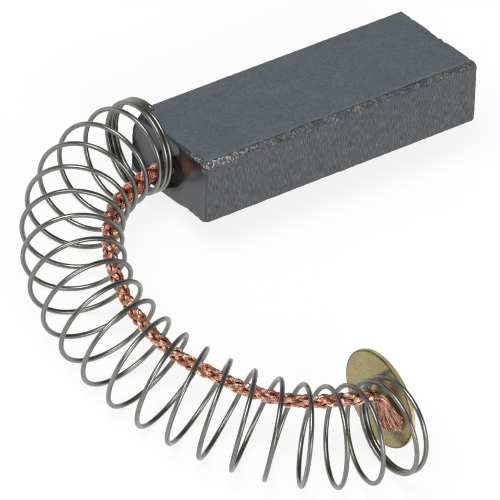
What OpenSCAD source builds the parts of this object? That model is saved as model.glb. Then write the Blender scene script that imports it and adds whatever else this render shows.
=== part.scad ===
// Carbon brush for a motor, lying free on a flat surface: a rectangular carbon
// block, a braided copper shunt tamped into its end, a compression spring bent
// into a half circle and a round contact disc at the far end.
// Millimetres, +Z up. The origin is the middle of the running face, +X points
// out of that face, and the block leans on its far lower edge.

/* [Carbon block] */
// length of the block from its end face to its running face
block_length = 34.5; // [20:0.5:60]
// width of the block's broad faces
block_width = 12.5; // [10:0.5:20]
// height of the block's narrow sides
block_height = 6.9; // [6:0.1:12]
// how far the block leans over on its far lower edge, in degrees
block_lean = 22.5; // [0:0.5:35]
// rough bevel along the near upper edge
near_bevel = 0.4; // [0.2:0.05:0.8]
// fine bevel along the other long edges
fine_bevel = 0.15; // [0.05:0.05:0.4]
// diameter of the tamped hole in the end face
hole_d = 3.6; // [3:0.1:5]
// depth of the tamped hole
hole_depth = 8.5; // [5:0.5:15]

/* [Spring] */
// diameter of the spring wire
wire_d = 0.5; // [0.3:0.05:0.7]
// mean radius of the open turns
coil_r = 5; // [4:0.1:6]
// mean radius of the closed turns at the block
closed_r = 4.75; // [3.8:0.05:5.8]
// closed turns lying against the block
closed_block_turns = 2.6; // [1:0.05:4]
// open turns round the bend
open_turns = 19.75; // [10:0.05:30]
// closed turns lying against the disc
closed_disc_turns = 1.45; // [1:0.05:4]
// distance between neighbouring open turns
open_pitch = 2.98; // [1.5:0.01:4]
// free gap between neighbouring closed turns
closed_gap = 0.02; // [0.01:0.01:0.1]
// turn at the block over which the closed radius grows to the open one
flare_turns = 2; // [0.5:0.5:4]
// how far the spring's middle stands off the block's middle
coil_side = 3.65; // [2.5:0.05:4.5]
// how far the last turns are held up above the surface
end_lift = 1.2; // [0:0.1:2]
// open turns over which the spring rises to that height
lift_turns = 9; // [4:1:12]

/* [Shunt] */
// diameter of the braided copper shunt
shunt_d = 1.5; // [1:0.1:1.8]
// length of shunt held in the tamped hole
shunt_buried = 6.5; // [3:0.5:12]
// thickness of the flattened and welded end
weld_t = 0.4; // [0.2:0.05:0.8]

/* [Contact disc] */
// thickness of the disc
disc_t = 0.5; // [0.3:0.05:1]
// angle by which the disc's upper rim leans towards the spring
disc_lean = 4.5; // [0:0.5:6]
// angle by which the disc is turned about the vertical
disc_turn = 1.5; // [0:0.5:8]
// how far the disc's middle lies aside of the spring's middle
disc_aside = 3.8; // [0:0.1:5]

/* [Fits] */
// how far the disc stands out past the spring's turns
disc_rim = 0.05; // [0.05:0.05:0.5]
// free gap between the block's end face and the first turn
seat_gap = 0.05; // [0.02:0.01:0.2]
// distance from the last turn's wire to the middle of the disc's face
disc_stand = 0.5; // [0.1:0.02:1]
// how far the tamping plug lies below the end face
plug_recess = 0.2; // [0.1:0.05:0.5]
// radial gap round the tamping plug
plug_gap = 0.02; // [0.01:0.01:0.05]
// radial gap between the shunt and anything that it runs through
shunt_gap = 0.03; // [0.02:0.01:0.1]
// gap left between the welded end and the disc
weld_gap = 0.02; // [0.01:0.01:0.05]

/* [Hidden] */
$fn = 64;
eps = 0.01;

carbon = [0.36, 0.38, 0.41];
powder = [0.30, 0.26, 0.24];
copper = [0.72, 0.38, 0.27];
steel = [0.62, 0.61, 0.58];
brass = [0.66, 0.60, 0.42];

// height of the surface under the lowest edge of the block
floor_z = -block_width / 2 * sin(block_lean) - block_height / 2 * cos(block_lean);

// chips along an edge: position along it, length, depth, skew in degrees
run_top_chips = [[-5.2, 1.6, 0.2, 3], [-3.1, 1.2, 0.14, -4], [-0.8, 1.8, 0.24, 2],
    [1.4, 1.1, 0.16, -3], [3.0, 1.6, 0.22, 4], [4.9, 1.3, 0.14, -2]];
run_near_chips = [[-2.4, 1.6, 0.24, 3], [-0.7, 1.3, 0.3, -3], [0.9, 1.2, 0.2, 4]];
run_low_chips = [[-4.2, 1.8, 0.22, -3], [-1.0, 1.4, 0.18, 3], [2.8, 1.9, 0.25, -2]];
run_far_chips = [[-1.6, 1.4, 0.2, 2], [1.2, 1.2, 0.16, -3]];
end_top_chips = [[-5.4, 1.1, 0.22, 3], [-4.1, 0.8, 0.12, -4], [-2.9, 0.9, 0.14, 3]];
end_low_chips = [[-2.6, 2.2, 0.26, 4], [1.8, 1.4, 0.16, -3]];
// size of the worn corner at the end face's far upper edge
worn_corner = 1.5;

// closed turns have one wire and one gap between their middles
closed_pitch = wire_d + closed_gap;
// bend of each fifth of the open turns, in degrees
bends = [46, 38, 30, 23, 43];
bend_turns = open_turns / len(bends);
total_turns = closed_block_turns + open_turns + closed_disc_turns;
// angle of the wire's first end, past the top of the turn
first_angle = 10;
// stretches of the spring's centre line: turns, pitch, bend
stretches = concat([[closed_block_turns, closed_pitch, 0]],
    [for (b = bends) [bend_turns, open_pitch, b]],
    [[closed_disc_turns, closed_pitch, 0]]);
// the turns lie on the surface, and rise from it towards the disc
centre_z = floor_z + wire_d / 2 + coil_r;
lift_start = closed_block_turns + open_turns - lift_turns;
spring_start = [0, -block_length - seat_gap - wire_d / 2, coil_side, 180];
wire_sides = 8;
rings_per_turn = 22;

// a place on the centre line: turns passed, x, y, heading
function moved(from, turns, pitch, bend) = let(
        travel = turns * pitch,
        half = bend / 2,
        chord = abs(half) < eps ? travel : travel * sin(half) / (half * PI / 180),
        way = from[3] + half)
    [from[0] + turns, from[1] + chord * cos(way), from[2] + chord * sin(way), from[3] + bend];
function places(i, from) = i == len(stretches) ? [from] :
    concat([from], places(i + 1, moved(from, stretches[i][0], stretches[i][1], stretches[i][2])));
joints = places(0, spring_start);
function stretch_at(turn) = max([for (i = [0 : len(stretches) - 1])
    if (i == 0 || joints[i][0] <= turn) i]);
function place(turn) = let(i = stretch_at(turn), s = stretches[i], passed = turn - joints[i][0])
    moved(joints[i], passed, s[1], s[2] * passed / s[0]);
function ahead(p) = [cos(p[3]), sin(p[3]), 0];
function inward(p) = [-sin(p[3]), cos(p[3]), 0];
function eased(f) = f * f * (3 - 2 * f);
function lift(turn) = end_lift * eased(min(1, max(0, (turn - lift_start) / lift_turns)));
function mid(p) = [p[1], p[2], centre_z + lift(p[0])];
function radius_at(turn) = closed_r + (coil_r - closed_r)
    * min(1, max(0, (turn - closed_block_turns) / flare_turns));

// one ring of the wire's skin
function wire_ring(turn) = let(
        p = place(turn),
        angle = 360 * turn + first_angle,
        r = radius_at(turn),
        slope = atan(stretches[stretch_at(turn)][1] / (2 * PI * r)),
        out = [0, 0, cos(angle)] - sin(angle) * inward(p),
        round_way = [0, 0, -sin(angle)] - cos(angle) * inward(p),
        across = sin(slope) * round_way - cos(slope) * ahead(p))
    [for (j = [0 : wire_sides - 1]) let(a = 360 * j / wire_sides)
        mid(p) + r * out + wire_d / 2 * (cos(a) * out + sin(a) * across)];
wire_rings = [for (i = [0 : ceil(total_turns * rings_per_turn)])
    wire_ring(min(total_turns, i / rings_per_turn))];

// room for the shunt's middle inside the turns
room = closed_r - wire_d / 2 - shunt_d / 2 - shunt_gap;
// the shunt's route inside the spring: turn, share of the room inward and upward, thickness share
route = [
    [2.8, 0.96, 0.09, 1], [3.4, 0.98, -0.14, 1], [4.2, 0.98, -0.18, 1], [5.2, 0.98, -0.12, 1],
    [6.4, 0.99, 0.08, 1], [7.6, 0.98, 0.16, 1], [8.6, 0.98, 0.16, 1], [9.6, 0.98, 0.13, 1],
    [10.5, 0.97, 0.1, 1], [11.6, 0.93, 0.08, 1], [12.9, 0.92, 0.08, 1], [14.2, 0.92, 0.1, 1],
    [15.4, 0.92, 0.18, 1], [16.7, 0.85, 0.24, 1], [18.1, 0.9, 0.22, 1], [19.4, 0.92, 0.32, 1],
    [20.6, 0.89, 0.42, 1], [21.4, 0.9, 0.37, 1], [22.1, 0.9, 0.3, 1], [22.8, 0.86, 0.2, 0.9],
    [23.8, 0.78, -0.05, 0.6], [24.6, 0.6, -0.37, 0.35]];
shunt_sides = 8;
steps_per_row = 3;
buried_x = -block_length + shunt_buried;
outside_x = -block_length - shunt_d / 2;
function route_point(row) = let(p = place(row[0]))
    concat(mid(p) + room * row[1] * inward(p) + [0, 0, room * row[2]], [row[3]]);
knots = concat([[buried_x, 0, 0, 1], [(buried_x - block_length) / 2, 0, 0, 1],
    [-block_length + plug_recess, 0, 0, 1], [outside_x, 0, 0, 1]],
    [for (row = route) route_point(row)]);
last_knot = len(knots) - 1;
function knot(i) = knots[min(last_knot, max(0, i))];
// smooth curve through the knots
function curve(i, f) = let(a = knot(i - 1), b = knot(i), c = knot(i + 1), d = knot(i + 2))
    b + f / 2 * (c - a) + f * f * (a - 2.5 * b + 2 * c - d / 2)
    + f * f * f / 2 * (3 * b - a - 3 * c + d);
shunt_line = concat([for (i = [0 : last_knot - 1]) for (s = [0 : steps_per_row - 1])
    curve(i, s / steps_per_row)], [knot(last_knot)]);
shunt_last = len(shunt_line) - 1;
function xyz(v) = [v[0], v[1], v[2]];
function shunt_way(i) = let(
        d = xyz(shunt_line[min(shunt_last, i + 1)] - shunt_line[max(0, i - 1)]))
    d / norm(d);
function shunt_ring(i) = let(
        t = shunt_way(i),
        level = cross([0, 0, 1], t),
        side = level / norm(level),
        top = cross(t, side),
        r = shunt_d / 2 * shunt_line[i][3])
    [for (j = [0 : shunt_sides - 1]) let(a = 360 * j / shunt_sides)
        xyz(shunt_line[i]) + r * (cos(a) * side + sin(a) * top)];
shunt_rings = [for (i = [0 : shunt_last]) shunt_ring(i)];

// the disc stands on the surface and leans towards the last turn
disc_d = 2 * coil_r + wire_d + 2 * disc_rim;
spring_end = place(total_turns);
disc_mid = [spring_end[1] + wire_d / 2 + disc_stand, spring_end[2] + disc_aside,
    floor_z + disc_d / 2 * cos(disc_lean)];
// outline of the flattened and welded end, in shares of the disc's diameter
weld_outline = [[-0.02, 0.02], [-0.1, 0.12], [-0.21, 0.13], [-0.36, 0.07], [-0.36, 0],
    [-0.32, -0.12], [-0.24, -0.22], [-0.16, -0.22], [-0.09, -0.16]];

// skin round a row of rings, each one turning with the way that the rings follow
module tube(rings) {
    sides = len(rings[0]);
    last = len(rings) - 1;
    walls = [for (i = [0 : last - 1]) for (j = [0 : sides - 1])
        let(k = (j + 1) % sides, a = i * sides, b = a + sides)
        each [[a + j, b + j, b + k], [a + j, b + k, a + k]]];
    first_cap = [for (j = [0 : sides - 1]) j];
    last_cap = [for (j = [sides - 1 : -1 : 0]) last * sides + j];
    polyhedron(points = [for (r = rings) each r], faces = concat([first_cap], walls, [last_cap]));
}

// cutter for a chip on an edge that runs along Y (turn 90 about Z) or Z
module chip(at, turn, row) {
    translate(at)
        rotate(turn)
            rotate([45, row[3], 0])
                cube([row[1], 2 * row[2], 2 * row[2]], center = true);
}

// outline of the block across its length
module block_outline() {
    w = block_width / 2;
    h = block_height / 2;
    polygon([
        [-w + near_bevel, h], [w - fine_bevel, h], [w, h - fine_bevel],
        [w, -h + fine_bevel], [w - fine_bevel, -h],
        [-w + fine_bevel, -h], [-w, -h + fine_bevel], [-w, h - near_bevel]]);
}

module block_chips() {
    w = block_width / 2;
    h = block_height / 2;
    along_y = [0, 0, 90];
    along_z = [0, 90, 0];
    for (c = run_top_chips) chip([0, c[0], h], along_y, c);
    for (c = run_low_chips) chip([0, c[0], -h], along_y, c);
    for (c = run_near_chips) chip([0, -w, c[0]], along_z, c);
    for (c = run_far_chips) chip([0, w, c[0]], along_z, c);
    for (c = end_top_chips) chip([-block_length, c[0], h], along_y, c);
    for (c = end_low_chips) chip([-block_length, c[0], -h], along_y, c);
    translate([-block_length, w, h])
        rotate([45, 35, 0])
            cube(worn_corner, center = true);
}

module carbon_block() {
    color(carbon)
        rotate([-block_lean, 0, 0])
            difference() {
                rotate([90, 0, -90])
                    mirror([1, 0, 0])
                        linear_extrude(block_length)
                            block_outline();
                block_chips();
                translate([-block_length - eps, 0, 0])
                    rotate([0, 90, 0])
                        cylinder(h = hole_depth + eps, d = hole_d);
            }
}

module tamping_plug() {
    color(powder)
        translate([-block_length + plug_recess, 0, 0])
            rotate([0, 90, 0])
                difference() {
                    cylinder(h = hole_depth - plug_recess - plug_gap, d = hole_d - 2 * plug_gap);
                    translate([0, 0, -eps])
                        cylinder(h = shunt_buried - plug_recess + shunt_gap, d = shunt_d + 2 * shunt_gap);
                }
}

module shunt() {
    color(copper) {
        tube(shunt_rings);
        on_disc()
            translate([-weld_gap - weld_t, 0, 0])
                rotate([90, 0, 90])
                    linear_extrude(weld_t)
                        polygon(disc_d * weld_outline);
    }
}

module spring() {
    color(steel)
        tube(wire_rings);
}

// places things in the disc's own frame: origin at the middle of its inner face
module on_disc() {
    translate(disc_mid)
        rotate([0, -disc_lean, disc_turn])
            children();
}

module contact_disc() {
    color(brass)
        on_disc()
            rotate([0, 90, 0])
                cylinder(h = disc_t, d = disc_d, $fn = 96);
}

carbon_block();
tamping_plug();
shunt();
spring();
contact_disc();
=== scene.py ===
import math

import bpy
import numpy as np
from mathutils import Matrix, Vector


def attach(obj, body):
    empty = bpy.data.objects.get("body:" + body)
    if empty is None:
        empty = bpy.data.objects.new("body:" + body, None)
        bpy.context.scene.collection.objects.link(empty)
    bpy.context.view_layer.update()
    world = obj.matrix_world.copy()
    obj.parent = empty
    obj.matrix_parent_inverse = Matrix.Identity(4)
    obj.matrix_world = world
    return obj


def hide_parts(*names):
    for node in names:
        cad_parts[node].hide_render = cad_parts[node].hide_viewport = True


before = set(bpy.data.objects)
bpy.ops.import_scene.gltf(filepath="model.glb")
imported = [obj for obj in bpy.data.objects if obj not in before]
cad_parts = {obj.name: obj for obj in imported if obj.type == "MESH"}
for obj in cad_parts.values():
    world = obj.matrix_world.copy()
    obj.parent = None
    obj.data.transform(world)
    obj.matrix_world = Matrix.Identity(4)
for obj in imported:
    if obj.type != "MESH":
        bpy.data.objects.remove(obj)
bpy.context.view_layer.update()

MM = 0.001

# ---------------------------------------------------------------- sizes as in part.scad, mm and degrees
# the carbon block and its tamped hole, whose wall is made only as deep as it can be seen
LENGTH = 34.5
WIDTH = 12.5
HEIGHT = 6.9
LEAN = 22.5
HOLE_R = 1.8
HOLE_SEEN = 0.6

# the spring: radii are over the wire's middle, and pitches are along the centre line
WIRE_D = 0.5
COIL_R = 5.0
CLOSED_R = 4.75
# counts of turns: closed at the block, open, closed at the disc
CLOSED_BLOCK = 2.6
OPEN_TURNS = 19.75
CLOSED_DISC = 1.45
OPEN_PITCH = 2.98
CLOSED_PITCH = 0.52
# turns over which the radius grows from the closed one to the open one
FLARE_TURNS = 2.0
# rise of the last turns above the surface, and the turns over which they rise
END_LIFT = 1.2
LIFT_TURNS = 9
# the spring's start: how far aside of the block's middle, how far from its end
COIL_SIDE = 3.65
SEAT_GAP = 0.05
FIRST_ANGLE = 10
# how much each fifth of the open turns bends
BENDS = [46, 38, 30, 23, 43]

# the contact disc, and how far it stands from the spring's end and aside of it
DISC_D = 10.6
DISC_T = 0.5
DISC_LEAN = 4.5
DISC_TURN = 1.5
DISC_STAND = 0.5
DISC_ASIDE = 3.8

FLOOR_Z = -WIDTH / 2 * math.sin(math.radians(LEAN)) - HEIGHT / 2 * math.cos(math.radians(LEAN))
CENTRE_Z = FLOOR_Z + WIRE_D / 2 + COIL_R

# the shunt: its route's rows hold the turn, and the shares of the room inward and upward.
# The first three lie a little further in than in part.scad, as the rope is looser there.
SHUNT_D = 1.5
SHUNT_GAP = 0.03
ROOM = CLOSED_R - WIRE_D / 2 - SHUNT_D / 2 - SHUNT_GAP
ROUTE = [
    [2.8, 0.94, 0.09], [3.4, 0.96, -0.14], [4.2, 0.97, -0.18], [5.2, 0.98, -0.12],
    [6.4, 0.99, 0.08], [7.6, 0.98, 0.16], [8.6, 0.98, 0.16], [9.6, 0.98, 0.13],
    [10.5, 0.97, 0.1], [11.6, 0.93, 0.08], [12.9, 0.92, 0.08], [14.2, 0.92, 0.1],
    [15.4, 0.92, 0.18], [16.7, 0.85, 0.24], [18.1, 0.9, 0.22], [19.4, 0.92, 0.32],
    [20.6, 0.89, 0.42], [21.4, 0.9, 0.37], [22.1, 0.9, 0.3]]


# ---------------------------------------------------------------- camera
def make_camera():
    """The photo's view, solved from the block's corners and the spring's turns."""
    azimuth = math.radians(-142.812)
    elevation = math.radians(48.631)
    roll = math.radians(23.413)
    distance = 899.34
    aim = Vector((-32.567, -12.054, 0)) * MM
    level = math.cos(elevation)
    back = Vector((level * math.cos(azimuth), level * math.sin(azimuth), math.sin(elevation)))
    right = Vector((0, 0, 1)).cross(back).normalized()
    up = back.cross(right)
    rolled_right = math.cos(roll) * right + math.sin(roll) * up
    rolled_up = math.cos(roll) * up - math.sin(roll) * right
    data = bpy.data.cameras.new("camera")
    data.sensor_width = 36
    data.lens = 649.0512
    data.clip_start = 0.05
    data.clip_end = 10
    cam = bpy.data.objects.new("camera", data)
    turn = Matrix((rolled_right, rolled_up, back)).transposed()
    cam.matrix_world = Matrix.Translation(aim + back * distance * MM) @ turn.to_4x4()
    bpy.context.scene.collection.objects.link(cam)
    bpy.context.scene.camera = cam


make_camera()


# ---------------------------------------------------------------- noise
def hashed(i, j, k, seed):
    """A repeatable value from 0 to 1 for each lattice point."""
    n = (i * 374761393 + j * 668265263 + k * 2147483647 + seed * 974711) & 0xFFFFFFFF
    n = ((n ^ (n >> 13)) * 1274126177) & 0xFFFFFFFF
    return ((n ^ (n >> 16)) & 0xFFFF) / 0xFFFF


def eased(f):
    """0 to 1 with a level start and end, held outside that range."""
    f = np.clip(f, 0, 1)
    return f * f * (3 - 2 * f)


def noise(p, scale, seed=0):
    """Smooth value noise from -1 to 1 at the rows of p."""
    q = np.asarray(p, float) / scale
    cell = np.floor(q).astype(np.int64)
    f = eased(q - cell)
    total = 0
    for a in (0, 1):
        for b in (0, 1):
            for c in (0, 1):
                weight = ((f[:, 0] if a else 1 - f[:, 0]) * (f[:, 1] if b else 1 - f[:, 1])
                          * (f[:, 2] if c else 1 - f[:, 2]))
                total = total + weight * hashed(cell[:, 0] + a, cell[:, 1] + b, cell[:, 2] + c, seed)
    return total * 2 - 1


def noise_along(s, row, column, scale, seed):
    """The noise along a straight line through the lattice, at the lengths s."""
    return noise(np.stack([s, s * 0 + row, s * 0 + column], -1), scale, seed)


# ---------------------------------------------------------------- mesh helpers
def unit(v):
    return v / np.maximum(np.linalg.norm(v, axis=-1, keepdims=True), 1e-12)


def circle(count, phase=0.0):
    """Evenly spaced angles."""
    return 2 * np.pi * np.arange(count) / count + phase


def length_along(line):
    steps = np.linalg.norm(np.diff(line, axis=0), axis=1)
    return np.concatenate([[0], np.cumsum(steps)])


def add_mesh(name, points, faces, smooth=True, lay=None):
    """A new object from points in mm. lay holds three numbers a point for its material."""
    mesh = bpy.data.meshes.new(name)
    places = (np.asarray(points, float) * MM).tolist()
    mesh.from_pydata(places, [], [list(map(int, f)) for f in faces])
    if lay is not None:
        values = np.asarray(lay, np.float32).ravel()
        mesh.attributes.new("lay", "FLOAT_VECTOR", "POINT").data.foreach_set("vector", values)
    mesh.polygons.foreach_set("use_smooth", [smooth] * len(mesh.polygons))
    mesh.update()
    obj = bpy.data.objects.new(name, mesh)
    bpy.context.scene.collection.objects.link(obj)
    return obj


def tube_faces(rings, sides, start=0):
    """Quads round a row of rings, and a cap at each end."""
    i = np.arange(rings - 1)[:, None] * sides + start
    j = np.arange(sides)[None, :]
    k = (j + 1) % sides
    quads = np.stack([i + j, i + k, i + sides + k, i + sides + j], -1).reshape(-1, 4)
    faces = quads.tolist()
    faces.append(list(range(start, start + sides))[::-1])
    faces.append(list(range(start + (rings - 1) * sides, start + rings * sides)))
    return faces


def ring_points(line, radius, angles, first, second):
    """A ring of points round each place on a line, in the plane of two directions."""
    radius = np.broadcast_to(np.asarray(radius, float).reshape(-1, 1, 1), (len(line), 1, 1))
    ring = line[:, None, :] + radius * (np.cos(angles)[None, :, None] * first[:, None, :]
                                        + np.sin(angles)[None, :, None] * second[:, None, :])
    return ring.reshape(-1, 3)


def directions(line):
    """Directions along, to the side and on top of a line of points."""
    along = unit(np.gradient(line, axis=0))
    side = unit(np.cross([0, 0, 1.0], along))
    return along, side, np.cross(along, side)


def thread(line, radius, sides, start=0, phase=0.0):
    """Points and faces of a thin wire that follows a line."""
    along, side, top = directions(line)
    return (ring_points(line, radius, circle(sides, phase), side, top),
            tube_faces(len(line), sides, start))


# ---------------------------------------------------------------- the spring's centre line
def moved(p, turns, pitch, bend):
    """The place (turn, x, y, heading) that an arc of the centre line leads to."""
    travel = turns * pitch
    half = math.radians(bend / 2)
    chord = travel if abs(bend / 2) < 0.01 else travel * math.sin(half) / half
    way = math.radians(p[3] + bend / 2)
    return (p[0] + turns, p[1] + chord * math.cos(way), p[2] + chord * math.sin(way), p[3] + bend)


STRETCHES = ([(CLOSED_BLOCK, CLOSED_PITCH, 0)]
             + [(OPEN_TURNS / len(BENDS), OPEN_PITCH, b) for b in BENDS]
             + [(CLOSED_DISC, CLOSED_PITCH, 0)])
JOINTS = [(0, -LENGTH - SEAT_GAP - WIRE_D / 2, COIL_SIDE, 180)]
for stretch in STRETCHES:
    JOINTS.append(moved(JOINTS[-1], *stretch))
TOTAL_TURNS = JOINTS[-1][0]


def stretch_at(turn):
    return max([i for i in range(len(STRETCHES)) if i == 0 or JOINTS[i][0] <= turn])


def place(turn):
    i = stretch_at(turn)
    turns, pitch, bend = STRETCHES[i]
    passed = turn - JOINTS[i][0]
    return moved(JOINTS[i], passed, pitch, bend * passed / turns)


def centre_line(turns):
    """Middle, way ahead and way inward at each turn number."""
    p = np.array([place(t) for t in turns])
    heading = np.radians(p[:, 3])
    level = np.zeros(len(p))
    lift_start = CLOSED_BLOCK + OPEN_TURNS - LIFT_TURNS
    lift = END_LIFT * eased((p[:, 0] - lift_start) / LIFT_TURNS)
    mid = np.stack([p[:, 1], p[:, 2], CENTRE_Z + lift], -1)
    ahead = np.stack([np.cos(heading), np.sin(heading), level], -1)
    inward = np.stack([-np.sin(heading), np.cos(heading), level], -1)
    return mid, ahead, inward


def make_spring():
    """The wire swept along the bent helix. Its lay holds the length and the place round it."""
    per_turn = 56
    sides = 14
    end_share = 0.8
    turns = np.linspace(0, TOTAL_TURNS, int(TOTAL_TURNS * per_turn) + 1)
    mid, ahead, inward = centre_line(turns)
    up = np.array([0, 0, 1.0])
    angle = np.radians(360 * turns + FIRST_ANGLE)[:, None]
    flare = np.clip((turns - CLOSED_BLOCK) / FLARE_TURNS, 0, 1)[:, None]
    r = CLOSED_R + (COIL_R - CLOSED_R) * flare
    pitch = np.array([STRETCHES[stretch_at(t)][1] for t in turns])[:, None]
    slope = np.arctan(pitch / (2 * np.pi * r))
    out = np.cos(angle) * up - np.sin(angle) * inward
    along = -np.sin(angle) * up - np.cos(angle) * inward
    across = np.sin(slope) * along - np.cos(slope) * ahead
    line = mid + r * out
    radius = np.full(len(turns), WIRE_D / 2)
    radius[[0, -1]] *= end_share
    angles = circle(sides)
    lay = np.stack([np.repeat(length_along(line), sides), np.tile(np.cos(angles), len(turns)),
                    np.tile(np.sin(angles), len(turns))], -1)
    points = ring_points(line, radius, angles, out, across)
    return add_mesh("spring_wire", points, tube_faces(len(turns), sides), lay=lay)


# ---------------------------------------------------------------- the shunt
def spline(knots, step):
    """Points of a smooth curve through the knots."""
    last = len(knots) - 1
    points = []
    for i in range(last):
        a, b, c, d = knots[max(0, i - 1)], knots[i], knots[i + 1], knots[min(last, i + 2)]
        for f in np.arange(0, 1, step):
            points.append(b + f / 2 * (c - a) + f * f * (a - 2.5 * b + 2 * c - d / 2)
                          + f ** 3 / 2 * (3 * b - a - 3 * c + d))
    points.append(knots[-1])
    return np.array(points)


def shunt_line(step):
    """Lengths and evenly spaced points along the shunt, from inside the block's hole."""
    knots = [(-LENGTH + 2.0, 0, 0), (-LENGTH + 1.0, 0, 0), (-LENGTH + 0.2, 0, 0),
             (-LENGTH - SHUNT_D / 2, 0, 0)]
    for turn, share_in, share_up in ROUTE:
        mid, _, inward = centre_line([turn])
        knots.append(tuple(mid[0] + ROOM * share_in * inward[0] + np.array([0, 0, ROOM * share_up])))
    fine = spline(np.array(knots, float), step=0.05)
    length = length_along(fine)
    s = np.linspace(0, length[-1], int(length[-1] / step) + 1)
    return s, np.stack([np.interp(s, length, fine[:, c]) for c in range(3)], -1)


class Rope:
    """Sizes of the braided rope, in mm, and how its wires lie in their bundles."""

    step = 0.22
    # bundles laid each way, and how they wind and pass over and under each other
    bundles = 4
    lay_pitch = 7.0
    mid_r = 0.52
    wave = 0.12
    # each bundle is an upper and a lower row of wires, rounded off to the sides
    wires = 13
    upper_wires = 7
    wire_r = 0.05
    wire_sides = 5
    wire_spacing = 0.09
    upper_rise = 0.07
    lower_rise = -0.03
    bundle_round = 2.4
    # a bundle rolls a little about itself
    twist = 0.5
    twist_pitch = 8.0
    # wires and bundles stray, and bundles swell
    uneven = 0.01
    ragged = 0.02
    wander = 0.02
    sway = 0.1
    swell = 0.25
    # the dark core between the bundles, a painted shade
    core_r = 0.36
    core_sides = 8
    # the share by which the rope is thicker at the block, where that fades and over how far
    loose_most = 0.24
    loose_from = 7
    loose_over = 13


def rope_wire(s, bundle, way, wire, rng):
    """Angle round the rope and distance from its middle of one wire of a bundle."""
    # each bundle, and each wire in it, has a place of its own in the noise
    key = bundle * 5.3 + way
    upper = wire < Rope.upper_wires
    sway = Rope.sway * noise_along(s, key, 0, 2.6, 5)
    swell = 1 + Rope.swell * noise_along(s, key, 9, 2.1, 6)
    wander = Rope.wander * noise_along(s, wire * 3.1, key, 1.1, 3)
    across = (wire % Rope.upper_wires - Rope.upper_wires // 2) * Rope.wire_spacing
    across += (0 if upper else Rope.wire_spacing / 2) + rng.uniform(-Rope.uneven, Rope.uneven)
    deep = (Rope.upper_rise if upper else Rope.lower_rise) - Rope.bundle_round * across ** 2
    deep += rng.uniform(-Rope.ragged, Rope.ragged)
    twist = Rope.twist * np.sin(2 * np.pi * s / Rope.twist_pitch + bundle * 1.7 + way)
    aside = (across * np.cos(twist) - deep * np.sin(twist)) * swell + wander + sway
    out = across * np.sin(twist) * 0.5 + deep * np.cos(twist)
    omega = 2 * np.pi / Rope.lay_pitch
    # over one bundle that is laid the other way and under the next, four times a turn
    r = Rope.mid_r + way * Rope.wave * np.cos(Rope.bundles * omega * s) + out
    angle = way * omega * s + bundle * np.pi / 2 + aside / Rope.mid_r
    return angle, r


def make_shunt():
    """Eight bundles of fine wires, four laid each way, passing over and under.

    Each point's lay holds the length along the rope, the wire's own shade and its height.
    """
    s, line = shunt_line(Rope.step)
    _, side, top = directions(line)
    # the rope is looser, so thicker, by the block
    loose = 1 + Rope.loose_most * (1 - eased((s - Rope.loose_from) / Rope.loose_over))
    sides = Rope.wire_sides
    made = []
    for way, name in ((1, "shunt_lay_a"), (-1, "shunt_lay_b")):
        points, faces, lays = [], [], []
        for bundle in range(Rope.bundles):
            for wire in range(Rope.wires):
                rng = np.random.default_rng(100 * (way + 1) + 20 * bundle + wire)
                angle, r = rope_wire(s, bundle, way, wire, rng)
                out = np.cos(angle)[:, None] * side + np.sin(angle)[:, None] * top
                path = line + (loose * r)[:, None] * out
                start = len(points) * len(s) * sides
                p, f = thread(path, Rope.wire_r * loose, sides, start, phase=wire)
                points.append(p)
                faces += f
                shade = 0.25 * bundle + 0.25 * rng.random()
                height = (r - Rope.mid_r) * 4 + 0.5
                lays.append(np.stack([np.repeat(s, sides), np.full(len(p), shade),
                                      np.repeat(height, sides)], -1))
        made.append(add_mesh(name, np.concatenate(points), faces, lay=np.concatenate(lays)))
    # a dark tube as painted shade between the bundles
    core, faces = thread(line[::3], Rope.core_r, Rope.core_sides)
    made.append(add_mesh("shunt_shade_core", core, faces, lay=np.zeros((len(core), 3))))
    return made, line


# ---------------------------------------------------------------- the shunt's fan on the disc
def disc_frame():
    """Middle of the disc's inner face, and the turn from the disc's own axes to the scene's."""
    end = JOINTS[-1]
    mid = np.array([end[1] + WIRE_D / 2 + DISC_STAND, end[2] + DISC_ASIDE,
                    FLOOR_Z + DISC_D / 2 * math.cos(math.radians(DISC_LEAN))])
    turn = (Matrix.Rotation(math.radians(DISC_TURN), 3, "Z")
            @ Matrix.Rotation(-math.radians(DISC_LEAN), 3, "Y"))
    return mid, np.array(turn)


class Fan:
    """Sizes of the fan, in mm, and how its tufts lie. Places on the disc are y and z from its middle."""

    tufts = 16
    wires = 8
    steps = 22
    wire_sides = 5
    wire_r = 0.046
    # radii of the rope's end and of one tuft, where the wires leave it
    bundle_r = 0.62
    tuft_r = 0.13
    # the way that the fan lies on the disc, and the angle that it opens to each side
    lean = math.radians(-143)
    opening = math.radians(36)
    # where it first meets the disc, and how much wider than the rope's end it is there
    foot = np.array([-0.75, 0.95])
    foot_spread = 1.35
    # from there to its tip: less at the sides, and uneven from tuft to tuft
    length = 3.15
    side_loss = 0.4
    uneven = 0.3
    ragged = 0.2
    # heights over the disc: of the lowest wires, of the whole pile, of every other tuft
    lowest = 0.09
    pile = 0.42
    raised = 0.08
    tip_share = 0.75
    tip_rise = 0.03
    least = 0.055
    # how far the bend stands off the disc, and how far the wires run on before it
    bend_rise = 0.55
    bend_ragged = 0.25
    bend_share = 0.7
    run_on = 1.35
    # outer wires curl back towards the middle
    curl = 0.9
    wander = 0.1
    wander_size = 0.8
    # wires of a tuft from this one on lie in the shade of the others
    first_dark = 5
    # lengths that the material reads, past the end of the rope's own
    lay_start = 60
    lay_length = 4


GOLDEN_ANGLE = 2.399963


def scattered(number, count, radius, phase=0.0):
    """One of count places, spread evenly over a circle."""
    r = radius * math.sqrt((number + 0.5) / count)
    a = number * GOLDEN_ANGLE + phase
    return np.array([r * math.cos(a), r * math.sin(a)])


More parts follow.
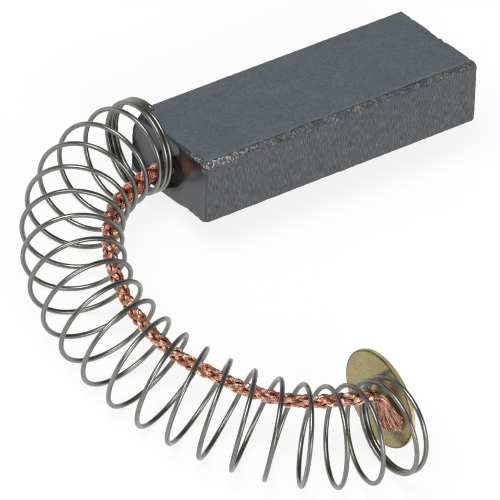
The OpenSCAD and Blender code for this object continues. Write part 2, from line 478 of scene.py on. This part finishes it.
def bezier(u, a, b, c, d):
    return (1 - u) ** 3 * a + 3 * u * (1 - u) ** 2 * b + 3 * u * u * (1 - u) * c + u ** 3 * d


def fan_wire(tuft, wire, start, out, leave, rng):
    """Places along one wire, 0 to 1, and its points by the disc's own axes, x through the disc."""
    middle = np.array([math.cos(Fan.lean), math.sin(Fan.lean)])
    sideways = np.array([-math.sin(Fan.lean), math.cos(Fan.lean)])
    ahead = float(out @ middle)
    aside = float(out @ sideways)
    angle = Fan.lean + aside / Fan.bundle_r * Fan.opening + (rng.random() - 0.5) * 0.1
    angle += (wire - 3) * 0.008 + 0.11 * math.sin(tuft * 4.7)
    way = np.array([math.cos(angle), math.sin(angle)])
    foot = Fan.foot + sideways * aside * Fan.foot_spread
    reach = Fan.length + Fan.uneven * math.sin(tuft * 2.1)
    reach += rng.uniform(-Fan.ragged, Fan.ragged) - Fan.side_loss * abs(aside)
    share = (ahead + Fan.bundle_r) / (2 * Fan.bundle_r)
    high = Fan.lowest + Fan.pile * share + Fan.raised * (tuft % 2)
    curl = Fan.curl * sideways * max(aside, 0)
    tip = np.array([-high * Fan.tip_share - Fan.tip_rise, *(foot + way * reach - curl)])
    crest = high + Fan.bend_rise + Fan.bend_ragged * rng.random()
    knee = foot + way * 1.55 + curl - (0.2 + 0.25 * min(aside, 0)) * middle
    before = start + leave * (Fan.run_on + 0.5 * (ahead + Fan.bundle_r))
    after = np.array([-crest * Fan.bend_share, *knee])
    u = np.linspace(0, 1, Fan.steps)[:, None]
    stray = np.concatenate([u * 3, u * 0 + tuft * 3 + wire * 0.4, u * 0], 1)
    stray = Fan.wander * np.stack([noise(stray, Fan.wander_size, seed) for seed in (1, 2, 3)], -1)
    path = bezier(u, start, before, after, tip) + stray * np.minimum(1, 3 * u)
    # nothing goes into the disc
    path[:, 0] = np.minimum(path[:, 0], -Fan.least)
    return u[:, 0], path


def make_fan(line):
    """The shunt's loose end, bent down and spread on the disc's inner face."""
    mid, turn = disc_frame()
    along, side, top = directions(line)
    root = line[-1]
    leave = along[-1] @ turn
    sides = Fan.wire_sides
    points, faces, lays = [], [], []
    for tuft in range(Fan.tufts):
        rng = np.random.default_rng(900 + tuft)
        for wire in range(Fan.wires):
            off = (scattered(tuft, Fan.tufts, Fan.bundle_r)
                   + scattered(wire, Fan.wires, Fan.tuft_r, tuft))
            start = (root + off[0] * side[-1] + off[1] * top[-1] - mid) @ turn
            out = (start - (root - mid) @ turn)[1:]
            u, path = fan_wire(tuft, wire, start, out, leave, rng)
            p, f = thread(path @ turn.T + mid, Fan.wire_r, sides, len(points) * Fan.steps * sides)
            points.append(p)
            faces += f
            dark = 0.6 if wire >= Fan.first_dark else 0.05
            height = 0.9 - dark * np.minimum(1, 2 * u)
            length = u * Fan.lay_length + Fan.lay_start
            lays.append(np.stack([np.repeat(length, sides), np.full(len(p), rng.random()),
                                  np.repeat(height, sides)], -1))
    return add_mesh("shunt_fan", np.concatenate(points), faces, lay=np.concatenate(lays))


# ---------------------------------------------------------------- the disc
def make_disc():
    """A round disc with soft rims, turned from its profile."""
    mid, turn = disc_frame()
    soft = 0.06
    seg = 160
    flat_rings = 9
    inner_ring = 0.6
    outer_ring = DISC_D / 2 - 0.3
    r = DISC_D / 2
    mitre = 0.3 * soft
    flat = np.linspace(inner_ring, outer_ring, flat_rings)
    profile = ([(q, 0) for q in flat]
               + [(r - soft, 0), (r - mitre, mitre), (r, soft), (r, DISC_T / 2),
                  (r, DISC_T - soft), (r - mitre, DISC_T - mitre), (r - soft, DISC_T)]
               + [(q, DISC_T) for q in flat[::-1]])
    rows = len(profile)
    a = circle(seg)
    points = [[0, 0, 0]]
    for q, x in profile:
        points += np.stack([np.full(seg, x), q * np.cos(a), q * np.sin(a)], -1).tolist()
    points.append([DISC_T, 0, 0])
    faces = []
    for j in range(seg):
        k = (j + 1) % seg
        faces.append([0, 1 + k, 1 + j])
        for i in range(rows - 1):
            b = 1 + i * seg
            faces.append([b + j, b + k, b + seg + k, b + seg + j])
        b = 1 + (rows - 1) * seg
        faces.append([b + j, b + k, len(points) - 1])
    obj = add_mesh("disc_body", np.array(points), faces)
    obj.matrix_world = Matrix.Translation(Vector(mid * MM)) @ Matrix(turn.tolist()).to_4x4()
    return obj


# ---------------------------------------------------------------- the block
def grid_line(lo, hi, step, fine, band):
    """Places from lo to hi, closer together in a band at both ends."""
    inner = np.linspace(lo + band, hi - band, max(2, int((hi - lo - 2 * band) / step) + 1))
    edge = np.linspace(0, band, int(band / fine) + 1)[:-1]
    return np.concatenate([lo + edge, inner, (hi - edge)[::-1]])


def block_lattice():
    """Points and quads over the block's six faces, with the hole's rim left open."""
    xs = grid_line(-LENGTH, 0, step=0.24, fine=0.1, band=1.2)
    ys = grid_line(-WIDTH / 2, WIDTH / 2, step=0.2, fine=0.09, band=1.1)
    zs = grid_line(-HEIGHT / 2, HEIGHT / 2, step=0.2, fine=0.09, band=1.1)
    last = (len(xs) - 1, len(ys) - 1, len(zs) - 1)
    index, points, faces = {}, [], []

    def at(i, j, k):
        key = (i, j, k)
        if key not in index:
            index[key] = len(points)
            points.append((xs[i], ys[j], zs[k]))
        return index[key]

    def in_hole(i, j, k):
        return i == 0 and math.hypot(ys[j], zs[k]) < HOLE_R - 0.02

    for i in (0, last[0]):
        for j in range(last[1]):
            for k in range(last[2]):
                corners = [(i, j, k), (i, j + 1, k), (i, j + 1, k + 1), (i, j, k + 1)]
                if not any(in_hole(*c) for c in corners):
                    quad = [at(*c) for c in corners]
                    faces.append(quad if i else quad[::-1])
    for j in (0, last[1]):
        for i in range(last[0]):
            for k in range(last[2]):
                quad = [at(i, j, k), at(i + 1, j, k), at(i + 1, j, k + 1), at(i, j, k + 1)]
                faces.append(quad[::-1] if j else quad)
    for k in (0, last[2]):
        for i in range(last[0]):
            for j in range(last[1]):
                quad = [at(i, j, k), at(i, j + 1, k), at(i + 1, j + 1, k), at(i + 1, j, k)]
                faces.append(quad[::-1] if k else quad)
    return np.array(points), faces


def hole_wall(p, faces):
    """Draws the lattice's open border onto the hole's circle, and gives the wall behind it."""
    used = {(a, b) for f in faces for a, b in zip(f, f[1:] + f[:1])}
    border = sorted((a, b) for a, b in used if (b, a) not in used)
    rim = sorted({v for edge in border for v in edge})
    for v in rim:
        p[v, 1:] *= HOLE_R / np.linalg.norm(p[v, 1:])
    low = {v: len(p) + i for i, v in enumerate(rim)}
    wall = p[rim] + np.array([HOLE_SEEN, 0, 0])
    return wall, [[b, a, low[a], low[b]] for a, b in border]


# each face of the block, and the way from it into the block
INWARD = {"end": (1, 0, 0), "run": (-1, 0, 0), "near": (0, 1, 0), "far": (0, -1, 0),
          "top": (0, 0, -1), "low": (0, 0, 1)}


def fade(value, start):
    """0 up to start, and 1 from 1 mm further on."""
    return np.clip(value - start, 0, 1)


def worn(p):
    """How far each point of the block's skin is moved by wear, chips and broken corners."""
    half_w, half_h = WIDTH / 2, HEIGHT / 2
    gap = {"end": p[:, 0] + LENGTH, "run": -p[:, 0], "near": p[:, 1] + half_w,
           "far": half_w - p[:, 1], "top": half_h - p[:, 2], "low": p[:, 2] + half_h}
    rough = noise(p, 0.35, 11) * 0.6 + noise(p, 0.17, 12) * 0.4
    chips = np.clip(noise(p, 1.1, 21) + 0.6 * noise(p, 0.5, 22), 0, 2)
    # along the end's and the running face's edges: the nearer half, and the near corner
    nearer = fade(-p[:, 1], 2.2)
    corner = fade(-p[:, 1], 4.6)
    notch = np.clip(1 - np.abs(p[:, 1] + 3.0) / 1.3, 0, 1)
    # more is gone near the broken corner of the end, the far face and the top
    by = {face: np.clip(1 - gap[face] / 2.4, 0, 1) ** 2 for face in ("end", "far", "top")}
    # the size of what is gone at each edge and corner, in mm
    wear = {
        ("near", "top"): 0.5 + 0.18 * rough + 0.12 * chips,
        ("run", "top"): 0.1 + 0.3 * chips * (1 - corner) + 0.05 * rough,
        ("run", "near"): 0.06 + 0.26 * chips + 0.05 * rough,
        ("run", "low"): 0.14 + 0.3 * chips,
        ("run", "far"): 0.16 + 0.3 * chips,
        ("end", "top"): (0.24 + 0.16 * rough + nearer * (0.06 + 0.06 * rough) + 0.1 * corner
                         + 0.9 * by["far"]),
        ("end", "near"): 0.1 + 0.04 * rough,
        ("end", "low"): 0.1 + 0.22 * notch + 0.12 * chips * nearer,
        ("end", "far"): 0.22 + 0.1 * rough + 1.3 * by["top"],
        ("near", "low"): 0.12 + 0.07 * rough,
        ("far", "top"): 0.16 + 0.05 * rough + 1.1 * by["end"],
        ("far", "low"): 0.16 + 0.05 * rough,
        ("end", "far", "top"): 2.0 + 0.25 * rough,
        ("end", "near", "low"): 0.6 + 0.2 * rough,
    }
    # the far corner's own cut is shallow, as its three edges are worn already
    share = {("end", "far", "top"): 0.4}
    move = np.zeros_like(p)
    for sides, size in wear.items():
        push = np.clip(size - sum(gap[side] for side in sides), 0, None) / len(sides)
        way = sum(np.array(INWARD[side], float) for side in sides)
        move += (push * share.get(sides, 1))[:, None] * way
    return move


def make_block():
    """The carbon block on a fine lattice, with worn and chipped edges."""
    p, faces = block_lattice()
    wall, wall_faces = hole_wall(p, faces)
    obj = add_mesh("block_body", np.concatenate([p + worn(p), wall]), faces + wall_faces)
    obj.matrix_world = Matrix.Rotation(-math.radians(LEAN), 4, "X")
    return obj


# ---------------------------------------------------------------- node helpers
def grey(value):
    return (value, value, value)


class Nodes:
    """Short ways to make the nodes of a tree."""

    def __init__(self, tree):
        self.tree = tree

    def node(self, kind, **values):
        n = self.tree.nodes.new(kind)
        for name, value in values.items():
            setattr(n, name, value)
        return n

    def link(self, a, b):
        self.tree.links.new(a, b)

    def set(self, socket, value):
        """Links a socket, or writes a number or a colour to it."""
        if isinstance(value, bpy.types.NodeSocket):
            self.link(value, socket)
        elif isinstance(value, tuple) and len(value) == 3 and socket.type == "RGBA":
            socket.default_value = (*value, 1)
        else:
            socket.default_value = value

    def fill(self, kind, *values, **settings):
        """A node with its first inputs set."""
        n = self.node(kind, **settings)
        for socket, value in zip(n.inputs, values):
            self.set(socket, value)
        return n

    def math(self, op, *values):
        return self.fill("ShaderNodeMath", *values, operation=op).outputs[0]

    def times(self, first, *more):
        for value in more:
            first = self.math("MULTIPLY", first, value)
        return first

    def plus(self, a, b):
        return self.math("ADD", a, b)

    def minus(self, a, b):
        return self.math("SUBTRACT", a, b)

    def most(self, first, *more):
        for value in more:
            first = self.math("MAXIMUM", first, value)
        return first

    def split(self, vector):
        return self.fill("ShaderNodeSeparateXYZ", vector).outputs

    def scaled(self, vector, scale):
        return self.fill("ShaderNodeVectorMath", vector, scale, operation="MULTIPLY").outputs[0]

    def from_axis(self, y, z, middle_y=0.0, middle_z=0.0):
        """Distance from a line that runs along x; the line's place is in mm."""
        y = self.minus(y, middle_y * MM)
        z = self.minus(z, middle_z * MM)
        return self.math("SQRT", self.plus(self.times(y, y), self.times(z, z)))

    def noise(self, vector, scale, detail, rough):
        n = self.node("ShaderNodeTexNoise")
        self.set(n.inputs["Vector"], vector)
        n.inputs["Scale"].default_value = scale
        n.inputs["Detail"].default_value = detail
        n.inputs["Roughness"].default_value = rough
        return n.outputs[0]

    def ramp(self, value, lo, hi, a=0.0, b=1.0):
        """a at lo and b at hi, and level outside them."""
        return self.fill("ShaderNodeMapRange", value, lo, hi, a, b, clamp=True).outputs[0]

    def ramp_mm(self, value, lo, hi, a=0.0, b=1.0):
        return self.ramp(value, lo * MM, hi * MM, a, b)

    def near_face(self, value, face, start, full):
        """0 beyond start mm from the face that lies at that place on an axis, 1 within full mm."""
        side = math.copysign(1, face)
        return self.ramp_mm(value, face - side * start, face - side * full)

    def mix(self, share, a, b):
        n = self.node("ShaderNodeMix", data_type="RGBA", blend_type="MIX")
        for socket, value in ((0, share), (6, a), (7, b)):
            self.set(n.inputs[socket], value)
        return n.outputs[2]

    def bump(self, height, strength, depth, after=None):
        n = self.node("ShaderNodeBump")
        self.set(n.inputs["Height"], height)
        n.inputs["Strength"].default_value = strength
        n.inputs["Distance"].default_value = depth * MM
        if after is not None:
            self.link(after, n.inputs["Normal"])
        return n.outputs[0]

    def rays(self):
        """Masks of the camera's own rays, and of these with reflections and transmission."""
        path = self.node("ShaderNodeLightPath").outputs
        camera = path["Is Camera Ray"]
        return camera, self.most(camera, path["Is Glossy Ray"], path["Is Transmission Ray"])


class Material(Nodes):
    """A material with the values that it has without its nodes."""

    def __init__(self, name, color, metallic, roughness):
        self.mat = bpy.data.materials.new(name)
        self.mat.use_nodes = True
        super().__init__(self.mat.node_tree)
        self.shader = self.tree.nodes["Principled BSDF"]
        self.shader.inputs["Base Color"].default_value = (*color, 1)
        self.shader.inputs["Metallic"].default_value = metallic
        self.shader.inputs["Roughness"].default_value = roughness

    def position(self):
        return self.node("ShaderNodeTexCoord").outputs["Object"]

    def lay(self):
        return self.node("ShaderNodeAttribute", attribute_name="lay").outputs["Vector"]

    def dress(self, color, roughness=None, normal=None):
        """Links what the nodes made to the shader."""
        self.link(color, self.shader.inputs["Base Color"])
        if roughness is not None:
            self.link(roughness, self.shader.inputs["Roughness"])
        if normal is not None:
            self.link(normal, self.shader.inputs["Normal"])
        return self.mat


# ---------------------------------------------------------------- the carbon
def carbon_top(m, fine, cloud):
    """Pressed face: slightly blue and even, with small dark pores."""
    color = m.mix(m.ramp(cloud, 0.38, 0.62), (0.072, 0.096, 0.118), (0.096, 0.122, 0.147))
    pores = m.mix(0.7, color, (0.012, 0.016, 0.022))
    return m.mix(m.ramp(fine, 0.4, 0.6), pores, color)


def carbon_side(m, pos, fine, streak):
    """Ground face, with dark and light striations across the block's length."""
    wide = m.noise(m.scaled(pos, (1, 1, 0.3)), 700, 4, 0.65)
    warm = m.ramp(m.noise(pos, 1700, 2, 0.5), 0.35, 0.65)
    color = m.mix(m.ramp(wide, 0.38, 0.62), (0.055, 0.065, 0.076), (0.084, 0.094, 0.105))
    color = m.mix(m.times(warm, 0.12), color, (0.12, 0.098, 0.1))
    grooves = m.mix(0.9, color, (0.008, 0.009, 0.011))
    color = m.mix(m.ramp(streak, 0.42, 0.56), grooves, color)
    color = m.mix(m.ramp(streak, 0.55, 0.64, 0, 0.55), color, (0.2, 0.205, 0.213))
    return m.mix(m.ramp(fine, 0.4, 0.58, 0.45, 0), color, (0.014, 0.015, 0.017))


def carbon_end(m, pos, fine, cloud, from_hole):
    """The shunt's end, with painted shade round the tamped hole and a painted reflection of the copper
    beside it.
    """
    _, y, z = m.split(pos)
    color = m.mix(m.ramp(cloud, 0.38, 0.62), (0.012, 0.017, 0.024), (0.028, 0.034, 0.044))
    color = m.mix(m.ramp(fine, 0.4, 0.6, 0.7, 0), color, (0.004, 0.005, 0.006))
    # painted shade: near black round the tamped hole
    color = m.mix(m.ramp_mm(from_hole, 2.9, 2.0, 0, 0.95), color, (0.005, 0.005, 0.006))
    # painted reflection of the copper rope, orange-brown beside the hole
    painted_end_reflection = m.from_axis(y, z, -2.9, 1.8)
    return m.mix(m.ramp_mm(painted_end_reflection, 1.4, 0.3, 0, 0.5), color, (0.2, 0.07, 0.035))


def carbon_edges(m, color, pos, nz, edge, grit, near_top):
    """Dark edges, with a dark line and light chips along the near upper one and at the end."""
    x, y, z = m.split(pos)
    end_top = m.times(m.near_face(x, -LENGTH, 0.8, 0.4), m.near_face(z, HEIGHT / 2, 0.75, 0.45))
    patches = m.ramp(m.noise(m.scaled(pos, (1, 0, 0)), 620, 2, 0.6), 0.4, 0.55)
    by_corner = m.near_face(x, -LENGTH, 8, 2)
    chips = m.times(m.ramp(grit, 0.5, 0.6), m.most(m.times(patches, 0.4), by_corner), near_top)
    nearer = m.near_face(y, -WIDTH / 2, 4.05, 1.65)
    end_chips = m.times(end_top, nearer, m.ramp(grit, 0.5, 0.62))
    dark = m.plus(0.15, m.times(m.minus(1.0, near_top), 0.5))
    color = m.mix(m.times(edge, dark), color, (0.02, 0.02, 0.022))
    line = m.times(m.ramp(nz, 0.9999, 0.996), m.ramp(nz, 0.78, 0.86), near_top)
    color = m.mix(m.times(line, 0.85), color, (0.012, 0.012, 0.014))
    between = m.times(end_top, edge, m.ramp(grit, 0.6, 0.5))
    color = m.mix(between, color, (0.008, 0.008, 0.01))
    return m.mix(m.times(m.most(chips, end_chips), edge), color, (0.42, 0.41, 0.42))


def carbon_material():
    """Carbon with a pressed top, ground sides, an end with painted shade round the hole, and chipped
    edges.
    """
    m = Material("carbon", (0.1, 0.11, 0.125), 0.0, 0.5)
    m.shader.inputs["IOR"].default_value = 1.75
    coord = m.node("ShaderNodeTexCoord")
    pos = coord.outputs["Object"]
    x, y, z = m.split(pos)
    nx, ny, nz = m.split(coord.outputs["Normal"])
    top = m.ramp(nz, 0.8, 0.95)
    end = m.ramp(nx, -0.8, -0.95)
    flat = m.most(*(m.math("ABSOLUTE", n) for n in (nx, ny, nz)))
    edge = m.ramp(flat, 0.985, 0.93)
    fine = m.noise(pos, 6500, 4, 0.65)
    cloud = m.noise(pos, 420, 4, 0.6)
    streak = m.noise(m.scaled(pos, (1, 1, 0.1)), 12800, 3, 0.7)
    grit = m.noise(m.scaled(pos, (1, 1, 0.35)), 4600, 3, 0.75)
    specks = m.ramp(m.noise(pos, 3600, 2, 0.6), 0.62, 0.7)
    near_top = m.times(m.near_face(y, -WIDTH / 2, 0.95, 0.65),
                       m.near_face(z, HEIGHT / 2, 1.05, 0.75))
    at_shunt = m.near_face(x, -LENGTH, 14.5, 9.5)
    from_hole = m.from_axis(y, z)

    color = m.mix(top, carbon_side(m, pos, fine, streak), carbon_top(m, fine, cloud))
    color = m.mix(end, color, carbon_end(m, pos, fine, cloud, from_hole))
    # painted shade: the hole's mouth and wall near black
    painted_hole_shade = m.times(m.ramp_mm(from_hole, 2.1, 1.9), at_shunt)
    color = m.mix(painted_hole_shade, color, (0.004, 0.004, 0.005))
    color = m.mix(m.times(specks, 0.55), color, (0.022, 0.022, 0.025))
    color = carbon_edges(m, color, pos, nz, edge, grit, near_top)

    # the painted shade round the hole is dull too
    dull = m.times(m.ramp_mm(from_hole, 2.8, 1.9, 0, 0.45), at_shunt)
    m.link(m.minus(0.5, dull), m.shader.inputs["Specular IOR Level"])
    rough = m.mix(end, m.mix(top, grey(0.55), grey(0.46)), grey(0.13))
    rough = m.plus(m.split(rough)[0], m.ramp(fine, 0.3, 0.7, -0.03, 0.05))
    ground = m.times(streak, m.minus(1.0, m.most(top, end)))
    normal = m.bump(fine, 0.3, 0.03)
    normal = m.bump(ground, 0.5, 0.05, normal)
    normal = m.bump(m.times(grit, near_top), 0.8, 0.15, normal)
    return m.dress(color, rough, normal)


# ---------------------------------------------------------------- the metals and the powder
def steel_material():
    """Drawn wire, streaked along its length and a little stained."""
    m = Material("spring_steel", (0.3, 0.295, 0.28), 1.0, 0.3)
    lay = m.lay()
    drawn = m.noise(m.scaled(lay, (0.035, 5, 5)), 1.3, 4, 0.65)
    stain = m.noise(m.scaled(lay, (0.9, 1.5, 1.5)), 1.0, 3, 0.6)
    color = m.mix(m.ramp(drawn, 0.4, 0.6), (0.12, 0.12, 0.113), (0.37, 0.368, 0.345))
    color = m.mix(m.times(m.ramp(stain, 0.45, 0.7), 0.5), color, (0.17, 0.167, 0.155))
    return m.dress(color, m.ramp(drawn, 0.35, 0.65, 0.36, 0.25), m.bump(drawn, 0.25, 0.02))


def copper_material():
    """Copper wires in shades of their own, with painted shade that is darker and redder by the block,
    and painted shade where they dip.
    """
    m = Material("copper_braid", (0.75, 0.42, 0.32), 1.0, 0.3)
    lay = m.lay()
    length, shade, height = m.split(lay)
    patch = m.noise(m.scaled(lay, (1.1, 4, 1)), 1.0, 3, 0.6)
    color = m.mix(m.ramp(shade, 0, 1), (0.84, 0.38, 0.24), (1.0, 0.74, 0.6))
    color = m.mix(m.ramp(patch, 0.44, 0.6, 0, 0.72), color, (0.36, 0.105, 0.055))
    # painted shade: darker and redder by the block, inside the closed turns
    color = m.mix(m.ramp(length, 24, 8, 0, 0.55), color, (0.46, 0.13, 0.07))
    # painted shade in the grooves, where the wires dip low
    color = m.mix(m.ramp(height, 0.5, 0.1, 0, 0.9), color, (0.11, 0.027, 0.016))
    return m.dress(color, m.ramp(patch, 0.3, 0.7, 0.2, 0.36))


def core_material():
    """The shade between the rope's bundles."""
    m = Material("copper_shadow", (0.2, 0.07, 0.045), 0.6, 0.6)
    mottle = m.noise(m.position(), 2500, 3, 0.55)
    return m.dress(m.mix(mottle, (0.12, 0.04, 0.03), (0.3, 0.11, 0.07)))


def brass_material():
    """Dull brass with stains, painted dark reflections along the brim and the back edge, a painted
    highlight on the rim and a painted orange reflection of the copper.
    """
    m = Material("disc_brass", (0.42, 0.36, 0.2), 0.7, 0.3)
    pos = m.position()
    x, y, z = m.split(pos)
    cloud = m.noise(pos, 450, 4, 0.6)
    fine = m.noise(pos, 5200, 3, 0.6)
    stain = m.noise(pos, 900, 3, 0.6)
    color = m.mix(m.ramp(cloud, 0.3, 0.7), (0.35, 0.28, 0.12), (0.46, 0.375, 0.175))
    color = m.mix(m.ramp(fine, 0.45, 0.6, 0, 0.5), color, (0.22, 0.175, 0.08))
    color = m.mix(m.ramp(stain, 0.62, 0.74, 0, 0.6), color, (0.2, 0.14, 0.07))
    # x runs from the inner face, at 0, to the outer one
    away = m.from_axis(y, z)
    # painted reflection: a dark line along the rounded brim of the inner face
    painted_dark_brim = m.times(m.ramp_mm(away, 5.05, 5.18), m.ramp_mm(x, 0.22, 0.08))
    color = m.mix(m.times(painted_dark_brim, 0.7), color, (0.06, 0.048, 0.026))
    # painted reflection: a dark line along the outer face's rounded edge
    back = m.times(m.ramp_mm(away, 5.1, 5.2), m.ramp_mm(x, 0.36, 0.44))
    color = m.mix(m.times(back, 0.7), color, (0.08, 0.075, 0.065))
    # painted highlight: the rim made bright where it would catch the light
    rim = m.times(m.ramp_mm(away, 5.2, 5.28), m.ramp_mm(x, 0.1, 0.16))
    color = m.mix(m.times(rim, m.ramp(fine, 0.35, 0.6, 0.9, 0.4)), color, (0.9, 0.76, 0.42))
    # painted reflection of the copper on the disc, orange
    from_disc_reflection = m.from_axis(y, z, -1.1, 2.8)
    painted_disc_reflection = m.times(m.ramp_mm(from_disc_reflection, 1.3, 0.3, 0, 0.5), m.ramp_mm(x, 0.3, 0.1))
    color = m.mix(painted_disc_reflection, color, (0.6, 0.22, 0.05))
    return m.dress(color, m.ramp(fine, 0.3, 0.7, 0.22, 0.34), m.bump(fine, 0.3, 0.02))


def powder_material():
    """Dark tamping powder, painted near-black for the shade in the hole."""
    m = Material("tamping_powder", (0.02, 0.016, 0.014), 0.0, 0.8)
    grain = m.noise(m.position(), 4200, 4, 0.7)
    # dark powder, with painted shade making it near black
    color = m.mix(m.ramp(grain, 0.35, 0.75), grey(0.005), (0.02, 0.017, 0.015))
    return m.dress(color, normal=m.bump(grain, 0.7, 0.1))


def give(obj, mat):
    obj.data.materials.clear()
    obj.data.materials.append(mat)


# ---------------------------------------------------------------- the object
block = make_block()
give(block, carbon_material())
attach(block, "root")
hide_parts("carbon_block")

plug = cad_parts["tamping_plug"]
give(plug, powder_material())

wire = make_spring()
give(wire, steel_material())
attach(wire, "root")
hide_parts("spring")

copper = copper_material()
laid, rope_line = make_shunt()
fan = make_fan(rope_line)
for piece in laid + [fan]:
    give(piece, core_material() if piece.name == "shunt_shade_core" else copper)
    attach(piece, "root")
    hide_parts("shunt")

disc = make_disc()
give(disc, brass_material())
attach(disc, "root")
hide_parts("contact_disc")


# ---------------------------------------------------------------- floor and light
def make_floor():
    """A pale floor that keeps the object's shadow, and is near white where it is seen."""
    half = 1500
    white_share = 0.82
    corners = [(-half, -half, FLOOR_Z), (half, -half, FLOOR_Z), (half, half, FLOOR_Z),
               (-half, half, FLOOR_Z)]
    obj = add_mesh("floor", corners, [(0, 1, 2, 3)], smooth=False)
    m = Material("floor", (0.86, 0.86, 0.86), 0.0, 0.9)
    _, seen = m.rays()
    glow = m.node("ShaderNodeEmission").outputs[0]
    blend = m.fill("ShaderNodeMixShader", m.times(seen, white_share), m.shader.outputs[0], glow)
    m.link(blend.outputs[0], m.tree.nodes["Material Output"].inputs["Surface"])
    give(obj, m.mat)


def make_world():
    """Soft even light. It is white to the camera, and grey overhead in reflections."""
    strength = 0.5
    overhead = 0.12
    overhead_from = 0.4
    world = bpy.data.worlds.new("studio")
    bpy.context.scene.world = world
    world.use_nodes = True
    m = Nodes(world.node_tree)
    plain = m.tree.nodes["Background"]
    plain.inputs["Color"].default_value = (1, 1, 1, 1)
    plain.inputs["Strength"].default_value = strength
    way = m.node("ShaderNodeTexCoord").outputs["Generated"]
    shade = m.ramp(m.split(way)[2], 0.0, overhead_from, 1.0, overhead)
    camera, seen = m.rays()
    white = m.fill("ShaderNodeBackground", m.most(shade, camera), 1.0)
    blend = m.fill("ShaderNodeMixShader", seen, plain.outputs[0], white.outputs[0])
    m.link(blend.outputs[0], m.tree.nodes["World Output"].inputs["Surface"])


def make_lamp(name, place, size, power):
    """A square or oblong lamp that faces the object's middle."""
    aim = Vector((-0.03, -0.012, 0))
    data = bpy.data.lights.new(name, "AREA")
    data.shape = "RECTANGLE"
    data.size, data.size_y = size
    data.energy = power
    lamp = bpy.data.objects.new(name, data)
    lamp.location = place
    lamp.rotation_euler = (aim - Vector(place)).to_track_quat("-Z", "Y").to_euler()
    bpy.context.scene.collection.objects.link(lamp)


make_floor()
make_world()
make_lamp("key", (-0.25, 0.05, 0.42), (0.3, 0.3), 1.6)
make_lamp("fill", (-0.1, -0.45, 0.25), (0.35, 0.25), 1.2)

scene = bpy.context.scene
scene.view_settings.view_transform = "Standard"
scene.cycles.filter_width = 1.1
